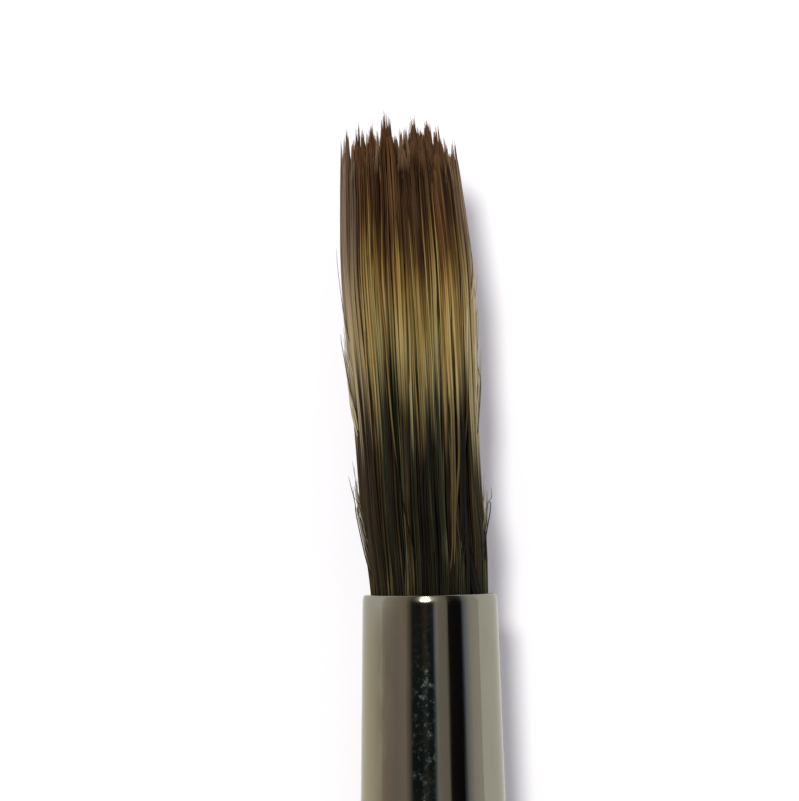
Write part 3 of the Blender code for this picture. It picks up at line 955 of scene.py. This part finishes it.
def lathe(name, profile, sides, closed, material):
    """Turns a profile of (x, radius) about the brush's axis."""
    angle = np.arange(sides) * (2 * math.pi / sides)
    points, rings, faces = [], [], []
    for x, radius in profile:
        if radius < ROUNDING_ERROR:
            rings.append([len(points)] * sides)
            points.append((x, 0.0, AXIS_Z))
            continue
        rings.append(list(range(len(points), len(points) + sides)))
        points += [(x, radius * math.cos(a), AXIS_Z + radius * math.sin(a)) for a in angle]
    pairs = list(zip(rings, rings[1:]))
    if closed:
        pairs.append((rings[-1], rings[0]))
    for near, far in pairs:
        for side in range(sides):
            beside = (side + 1) % sides
            face = (near[side], near[beside], far[beside], far[side])
            faces.append(tuple(dict.fromkeys(face)))
    piece = add_mesh(name, points, faces, material)
    shape = bmesh.new()
    shape.from_mesh(piece.data)
    bmesh.ops.recalc_face_normals(shape, faces=shape.faces)
    shape.to_mesh(piece.data)
    shape.free()
    piece.data.set_sharp_from_angle(angle=SHARP_ANGLE)
    return piece


def rounded_end(x, inner, outer, way):
    """A tube's end as (x, radius) points, from its outer edge to its inner one.

    Its edges are rounded from x to RIM_ROUNDING beyond it, towards +X (way 1) or -X (-1).
    """
    points = []
    for radius, first in ((outer - RIM_ROUNDING, 0), (inner + RIM_ROUNDING, RIM_POINTS // 2)):
        for step in range(first, first + RIM_POINTS // 2 + 1):
            angle = math.pi * step / RIM_POINTS
            points.append((
                x + way * RIM_ROUNDING * math.sin(angle), radius + RIM_ROUNDING * math.cos(angle)))
    return points


def make_ferrule(material):
    """The tube at a finer grain on the CAD ferrule's own radii, with its edges turned in."""
    rows = turned_radii(
        "ferrule", FERRULE_END_X + WALL / 2 - ROUNDING_ERROR, MOUTH_X - WALL / 2 + ROUNDING_ERROR)
    rows = np.vstack(((FERRULE_END_X + RIM_ROUNDING, rows[0, 1]), rows))
    crimps_end = FERRULE_END_X + CRIMPED_SHARE * (MOUTH_X - FERRULE_END_X)
    crimps = rows[rows[:, 0] < crimps_end]
    crimp_x = np.arange(crimps[0, 0], crimps[-1, 0], CRIMP_STEP)
    lip_end = MOUTH_X - RIM_ROUNDING
    plain_x = np.linspace(crimps[-1, 0], lip_end - LIP_LENGTH, PLAIN_STEPS)[1:]
    lip_x = lip_end - LIP_LENGTH * (1 - np.arange(1, RIM_POINTS + 1) / RIM_POINTS)
    outer = list(zip(crimp_x, smooth_through(crimps, crimp_x)))
    outer += list(zip(plain_x, np.interp(plain_x, *rows.T)))
    inner = [(x, radius - WALL) for x, radius in outer]
    turned_in = (lip_x - lip_end + LIP_LENGTH) ** 2 / (2 * LIP_RADIUS)
    lip = list(zip(lip_x, np.interp(lip_x, *rows.T) - turned_in))
    bore = inner[-1][1]
    front_x, front_radius = lip[-1]
    back_x, back_radius = outer[0]
    profile = (outer + lip)[::-1]
    profile += rounded_end(back_x, back_radius - WALL, back_radius, -1)[1:-1]
    profile += inner
    profile += rounded_end(front_x, bore, front_radius, 1)[:0:-1]
    return lathe("ferrule_tube", profile, FERRULE_SIDES, True, material)


def handle_radii():
    """The CAD handle's radii from its tail to just short of its shoulder."""
    return turned_radii(
        "handle", TAIL_X - ROUNDING_ERROR, FERRULE_END_X - SHOULDER_GAP - SHOULDER_MARGIN)


def make_handle(material):
    """The turned handle at a finer grain on the CAD handle's own radii, with its tenon."""
    shoulder_x = FERRULE_END_X - SHOULDER_GAP
    rows = handle_radii()
    body_x = np.arange(rows[TAIL_EDGE + 1, 0], rows[-1, 0], BODY_STEP)
    body_x = np.concatenate((body_x, rows[-1:, 0]))[::-1]
    front_x = HANDLE_HIGH.x
    tenon_x = np.linspace(front_x - TENON_LAND, shoulder_x, TENON_STEPS)
    profile = [
        (front_x, 0.0), (front_x, TENON_RADIUS - TENON_CHAMFER),
        (front_x - TENON_CHAMFER, TENON_RADIUS)]
    profile += [(x, TENON_RADIUS + TENON_TAPER * (front_x - x) - TENON_RELIEF) for x in tenon_x]
    profile.append((shoulder_x, rows[-1, 1] - SHOULDER_EDGE))
    profile += list(zip(body_x, smooth_through(rows, body_x)))
    for step in range(1, TAIL_STEPS + 1):
        angle = math.pi / 2 * step / TAIL_STEPS
        profile.append((
            TAIL_X + TAIL_ROUNDING * (1 - math.sin(angle)),
            TAIL_FLAT + TAIL_ROUNDING * math.cos(angle)))
    profile.append((TAIL_X, 0.0))
    return lathe("handle_wood", profile, HANDLE_SIDES, False, material)


def speck_masks(tree, place, y, from_rim):
    """The patches that tarnish specks lie in, in one streak, and the specks themselves."""
    specks = ranged(tree, noise(tree, place, scale=4500.0, detail=4.0, roughness=0.6), (0.50, 0.72))
    patches = ranged(tree, noise(tree, place, scale=420.0, detail=3.0), (0.32, 0.58))
    off_streak = math_node(tree, "ABSOLUTE", math_node(tree, "SUBTRACT", y, STREAK_Y))
    streak = ranged(tree, off_streak, STREAK_EDGE)
    patches = math_node(tree, "MULTIPLY", patches, math_node(tree, "MULTIPLY", streak, from_rim))
    return patches, math_node(tree, "MULTIPLY", specks, patches)


def nickel_colour(tree, y, blotch, from_rim, patches):
    """Warm grey nickel with a painted reflection on its +Y side, and darker round the specks."""
    # a painted reflection, tinted across Y and blotchy in strength
    tint = ramp(tree, ranged(tree, y, PAINTED_REFLECTION_SPAN), PAINTED_REFLECTION_TINTS)
    amount = math_node(tree, "MULTIPLY_ADD", blotch, PAINTED_REFLECTION_CONTRAST, 1 - PAINTED_REFLECTION_CONTRAST / 2)
    amount = math_node(tree, "MULTIPLY", amount, math_node(tree, "POWER", from_rim, 0.5))
    colour = ramp(tree, blotch, NICKEL_TONES)
    colour = mixed(tree, amount, colour, mixed(tree, 1.0, colour, tint, "MULTIPLY"))
    return mixed(tree, math_node(tree, "MULTIPLY", patches, SPECK_SHARE), colour, SPECK_COLOUR)


def nickel_roughness(tree, x, blotch, specks):
    """Polished, but rougher at the specks and round both rims."""
    rough = ranged(tree, blotch, (0.3, 0.7), NICKEL_ROUGHNESS)
    rough = math_node(tree, "MULTIPLY_ADD", specks, SPECK_ROUGHNESS, rough)
    for rim_x, inward in ((MOUTH_X, -1), (FERRULE_END_X, 1)):
        at_rim = ranged(tree, x, [rim_x + inward * distance for distance in RIM_SPAN])
        rough = math_node(tree, "MULTIPLY_ADD", at_rim, RIM_ROUGHNESS, rough)
    return rough


def nickel_material():
    """Polished nickel with fine draw lines, a streak of specks and a painted reflection on its +Y
    side.
    """
    material, tree, shader = material_with("polished_nickel")
    place = object_place(tree)
    parts = add_node(tree, "ShaderNodeSeparateXYZ", {0: place}).outputs
    blotch = noise(tree, stretched(tree, place, (300.0, 900.0, 900.0)), detail=6.0, roughness=0.6)
    from_rim = ranged(tree, parts["X"], [MOUTH_X - distance for distance in RIM_TO_REFLECTION_AND_SPECKS])
    patches, specks = speck_masks(tree, place, parts["Y"], from_rim)
    colour = nickel_colour(tree, parts["Y"], blotch, from_rim, patches)
    tree.links.new(colour, shader.inputs["Base Color"])
    rough = nickel_roughness(tree, parts["X"], blotch, specks)
    tree.links.new(rough, shader.inputs["Roughness"])
    shader.inputs["Metallic"].default_value = 1.0
    shader.inputs["Specular Tint"].default_value = NICKEL_EDGE
    draw_lines = noise(tree, stretched(tree, place, (30.0, 6000.0, 6000.0)))
    bump = add_node(tree, "ShaderNodeBump", {
        "Height": draw_lines, "Strength": 1.0, "Distance": DRAW_LINE_DEPTH})
    tree.links.new(bump.outputs[0], shader.inputs["Normal"])
    return material


def wood_material():
    """Pale wood with broad grain and fine pores, under lacquer."""
    material, tree, shader = material_with("lacquered_wood")
    place = object_place(tree)
    grain = noise(tree, stretched(tree, place, (25.0, 700.0, 700.0)), detail=8.0, roughness=0.65)
    pores = noise(tree, stretched(tree, place, (110.0, 5200.0, 5200.0)), detail=3.0, roughness=0.6)
    pores = math_node(tree, "MULTIPLY_ADD", pores, PORE_SHARE, -PORE_SHARE / 2)
    colour = ramp(tree, math_node(tree, "ADD", grain, pores), WOOD_TONES)
    tree.links.new(colour, shader.inputs["Base Color"])
    shader.inputs["Roughness"].default_value = 0.28
    shader.inputs["Coat Weight"].default_value = 0.6
    shader.inputs["Coat Roughness"].default_value = 0.08
    return material


def repaint(node, material):
    for slot in frame["nodes"][node].material_slots:
        slot.material = material


# --- floor, light and camera ---

def make_floor():
    """A pale table, tipped so that the handle's belly and tail both rest on it."""
    rows = handle_radii()
    belly_x, belly_radius = rows[np.argmax(rows[:, 1])]
    tail_x, tail_radius = rows[TAIL_EDGE]
    tip = math.asin((belly_radius - tail_radius) / (belly_x - tail_x))
    corners = [(x * FLOOR_HALF, y * FLOOR_HALF, 0) for x, y in ((-1, -1), (1, -1), (1, 1), (-1, 1))]
    floor = add_mesh("table_top", corners, [(0, 1, 2, 3)], table_material())
    contact = Matrix.Translation(Vector((belly_x, 0.0, AXIS_Z)))
    below = Matrix.Translation((0, 0, -belly_radius))
    floor.matrix_world = contact @ Matrix.Rotation(tip, 4, "Y") @ below


def make_world():
    """Soft even fill, a plain backdrop, and strips that only polished surfaces show."""
    world = bpy.data.worlds.new("studio")
    bpy.context.scene.world = world
    world.use_nodes = True
    tree = world.node_tree
    strips = tree.nodes["Background"]
    direction = add_node(tree, "ShaderNodeTexCoord").outputs["Generated"]
    parts = add_node(tree, "ShaderNodeSeparateXYZ", {0: direction})
    right = math_node(tree, "MULTIPLY", parts.outputs["Y"], -1.0)
    angle = math_node(tree, "ARCTAN2", right, parts.outputs["Z"])
    share = math_node(tree, "MULTIPLY_ADD", angle, 1 / (2 * math.pi), 0.5)
    stops = tuple((0.5 + degrees / 360, colour) for degrees, colour in STUDIO_STRIPS)
    tree.links.new(ramp(tree, share, stops), strips.inputs["Color"])
    fill = add_node(tree, "ShaderNodeBackground", {"Color": (*FILL_COLOUR, 1.0)})
    plain = add_node(tree, "ShaderNodeBackground", {"Color": (*PLAIN_COLOUR, 1.0)})
    rays = add_node(tree, "ShaderNodeLightPath")
    light = add_node(tree, "ShaderNodeMixShader", {
        0: rays.outputs["Is Glossy Ray"], 1: fill.outputs[0], 2: strips.outputs[0]})
    seen = add_node(tree, "ShaderNodeMixShader", {
        0: rays.outputs["Is Camera Ray"], 1: light.outputs[0], 2: plain.outputs[0]})
    tree.links.new(seen.outputs[0], tree.nodes["World Output"].inputs["Surface"])


def make_key_light():
    """A soft light nearly overhead, towards the tuft's end and a little to +Y."""
    lamp = bpy.data.lights.new("key", "SUN")
    lamp.energy = SUN_ENERGY
    lamp.angle = SUN_ANGLE
    lamp.color = SUN_COLOUR
    key = bpy.data.objects.new("key", lamp)
    bpy.context.scene.collection.objects.link(key)
    toward = Vector((math.tan(SUN_AHEAD), math.tan(SUN_ASIDE), 1.0))
    key.rotation_euler = toward.to_track_quat("Z", "Y").to_euler()


def make_camera():
    """Looks straight down on the tuft, with the brush upright in the picture."""
    data = bpy.data.cameras.new("camera")
    data.lens = LENS
    data.sensor_width = SENSOR
    data.clip_start = 0.01
    data.clip_end = 20.0
    camera = bpy.data.objects.new("camera", data)
    bpy.context.scene.collection.objects.link(camera)
    away = VIEW_HEIGHT * LENS / SENSOR
    up = Vector((math.cos(VIEW_ROLL), -math.sin(VIEW_ROLL), 0.0))
    right = up.cross(Vector((0, 0, 1)))
    turn = Matrix((right, up, Vector((0, 0, 1)))).transposed().to_4x4()
    place = Vector((MOUTH_X + VIEW_AHEAD, VIEW_ASIDE, AXIS_Z + away))
    camera.matrix_world = Matrix.Translation(place) @ turn
    bpy.context.scene.camera = camera


def main():
    bpy.context.scene.view_settings.view_transform = "Standard"
    make_camera()
    make_world()
    make_key_light()
    make_floor()

    hair = hair_material()
    lower, uppers = make_hair(hair)
    low_strays, high_strays = make_strays(hair)
    core = make_core(core_material())
    for piece in (lower, core, low_strays):
        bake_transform(piece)
    for piece in (*uppers, high_strays):
        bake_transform(piece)
    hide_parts("hair_base", "hair_belly")
    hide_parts("hair_tip")

    ferrule = make_ferrule(nickel_material())
    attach(ferrule, FIXED_BODY)
    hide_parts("ferrule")
    handle = make_handle(wood_material())
    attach(handle, FIXED_BODY)
    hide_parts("handle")
    repaint("binding_thread", thread_material())
    repaint("root_glue", glue_material())


main()
